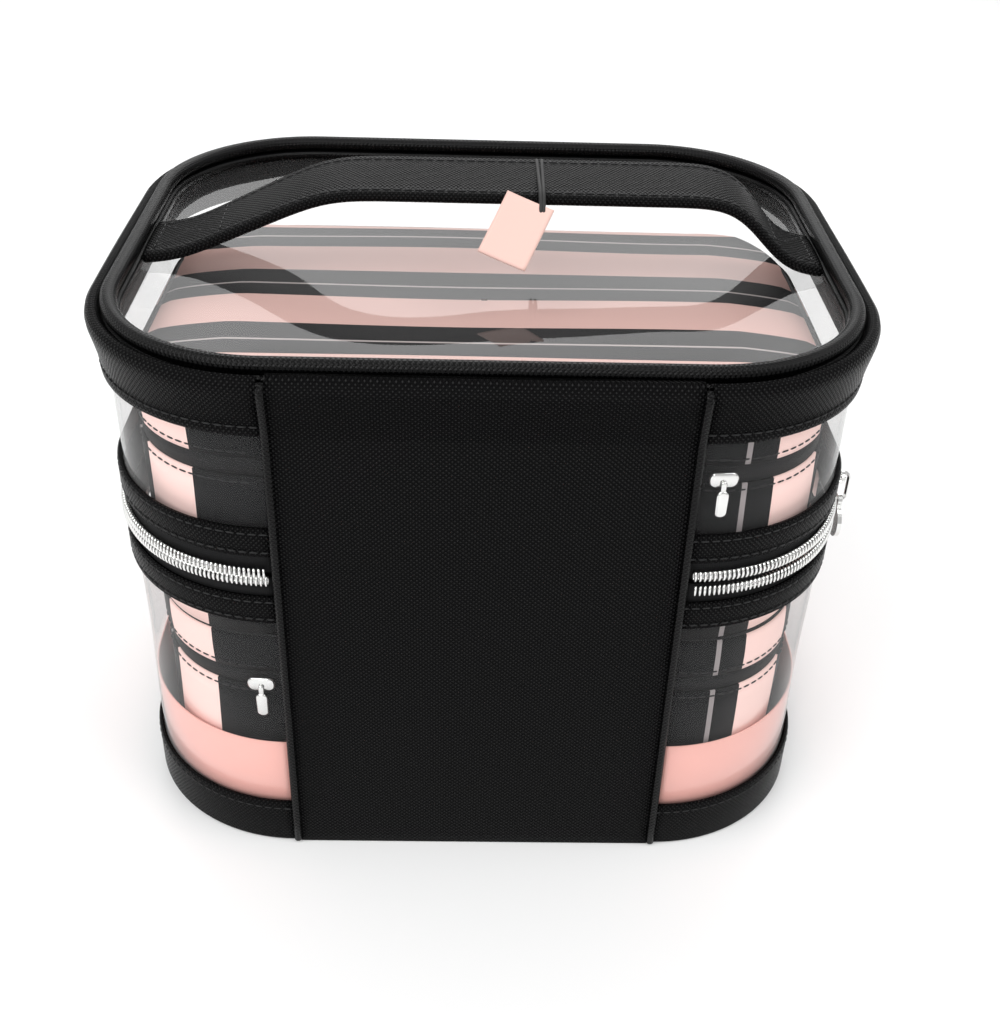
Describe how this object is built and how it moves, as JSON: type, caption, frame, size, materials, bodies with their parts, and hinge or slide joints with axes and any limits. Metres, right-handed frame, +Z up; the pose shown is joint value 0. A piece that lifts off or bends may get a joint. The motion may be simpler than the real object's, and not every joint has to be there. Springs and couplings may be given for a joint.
{
  "type": "makeup train case",
  "caption": "Soft-sided makeup train case with clear walls, hinged zip-round lid, strap handle on top and nested striped pouches inside.",
  "frame": {"origin": "centre of the flat bottom face that the case stands on", "axes": "+Z up; -Y out of the hinged back panel that the picture shows; +Y out of the opening front; +X to the right in the picture, along the width"},
  "size_m": [0.2633, 0.2119, 0.2196],
  "materials": {
    "black_grain": "black leatherette with a fine cross grain, satin",
    "clear_vinyl": "clear glossy sheet with a faint grey cast",
    "pink_vinyl": "smooth glossy salmon pink",
    "zip_tape": "black woven tape",
    "silver_coil": "bright silver coil",
    "bright_metal": "polished silver metal",
    "black_gloss": "black enamel",
    "black_board": "black lined board",
    "elastic": "black elastic",
    "tag_card": "blank pale pink card",
    "pouch_cloth": "dark cloth with pink blocks",
    "pouch_print": "plain pink and dark stripes"
  },
  "bodies": {
    "base": {"bottom_cover": "black_grain", "bottom_board": "black_board", "bottom_trim": "black_grain", "lower_window": "clear_vinyl", "pink_liner": "pink_vinyl", "lower_zip_tape": "zip_tape", "lower_zip_facing": "black_grain", "lower_zip_teeth": "silver_coil", "back_board_lower": "black_board", "back_panel_lower": "black_grain", "back_cord_lower_left": "black_grain", "back_cord_lower_right": "black_grain", "lower_pouch_base": "pouch_cloth", "lower_pouch_body": "pouch_cloth", "lower_pouch_zip": "zip_tape", "lower_pouch_rim": "pouch_cloth", "lower_pouch_top": "pouch_print", "lower_pouch_pull": "bright_metal", "upper_pouch_base": "pouch_cloth", "upper_pouch_body": "pouch_cloth", "upper_pouch_zip": "zip_tape", "upper_pouch_rim": "pouch_cloth", "upper_pouch_top": "pouch_print", "upper_pouch_pull": "bright_metal"},
    "lid": {"upper_zip_tape": "zip_tape", "upper_zip_facing": "black_grain", "upper_zip_teeth": "silver_coil", "upper_window": "clear_vinyl", "top_window": "clear_vinyl", "top_band": "black_grain", "top_welt": "black_grain", "top_piping": "black_grain", "back_board_upper": "black_board", "back_panel_upper": "black_grain", "back_cord_upper_left": "black_grain", "back_cord_upper_right": "black_grain", "handle_end_left": "black_grain", "handle_end_right": "black_grain"},
    "handle": {"handle_strap": "black_grain", "tag_loop": "elastic"},
    "tag": {"hang_tag": "tag_card"},
    "slider": {"zip_slider": "bright_metal"},
    "link": {"pull_link": "bright_metal"},
    "pull": {"pull_frame": "bright_metal", "pull_inlay": "black_gloss"}
  },
  "joints": [
    {"name": "lid_fold", "type": "hinge", "parent": "base", "child": "lid", "pos_m": [0, -0.1035, 0.121], "axis": [1, 0, 0], "range_deg": [0, 115]},
    {"name": "handle_flop", "type": "hinge", "parent": "lid", "child": "handle", "pos_m": [0, 0, 0.2013], "axis": [1, 0, 0], "range_deg": [-38, 12]},
    {"name": "tag_lift", "type": "hinge", "parent": "handle", "child": "tag", "pos_m": [0.0186, -0.02212, 0.21305], "axis": [-1, 0, 0], "range_deg": [0, 45]},
    {"name": "slider_run", "type": "slide", "parent": "base", "child": "slider", "axis": [0, 1, 0], "range_m": [0, 0.072]},
    {"name": "link_swing", "type": "hinge", "parent": "slider", "child": "link", "pos_m": [0.13215, -0.036, 0.121], "axis": [0, -1, 0], "range_deg": [-5, 95]},
    {"name": "pull_swing", "type": "hinge", "parent": "link", "child": "pull", "pos_m": [0.13215, -0.036, 0.11145], "axis": [1, 0, 0], "range_deg": [-60, 60]}
  ]
}
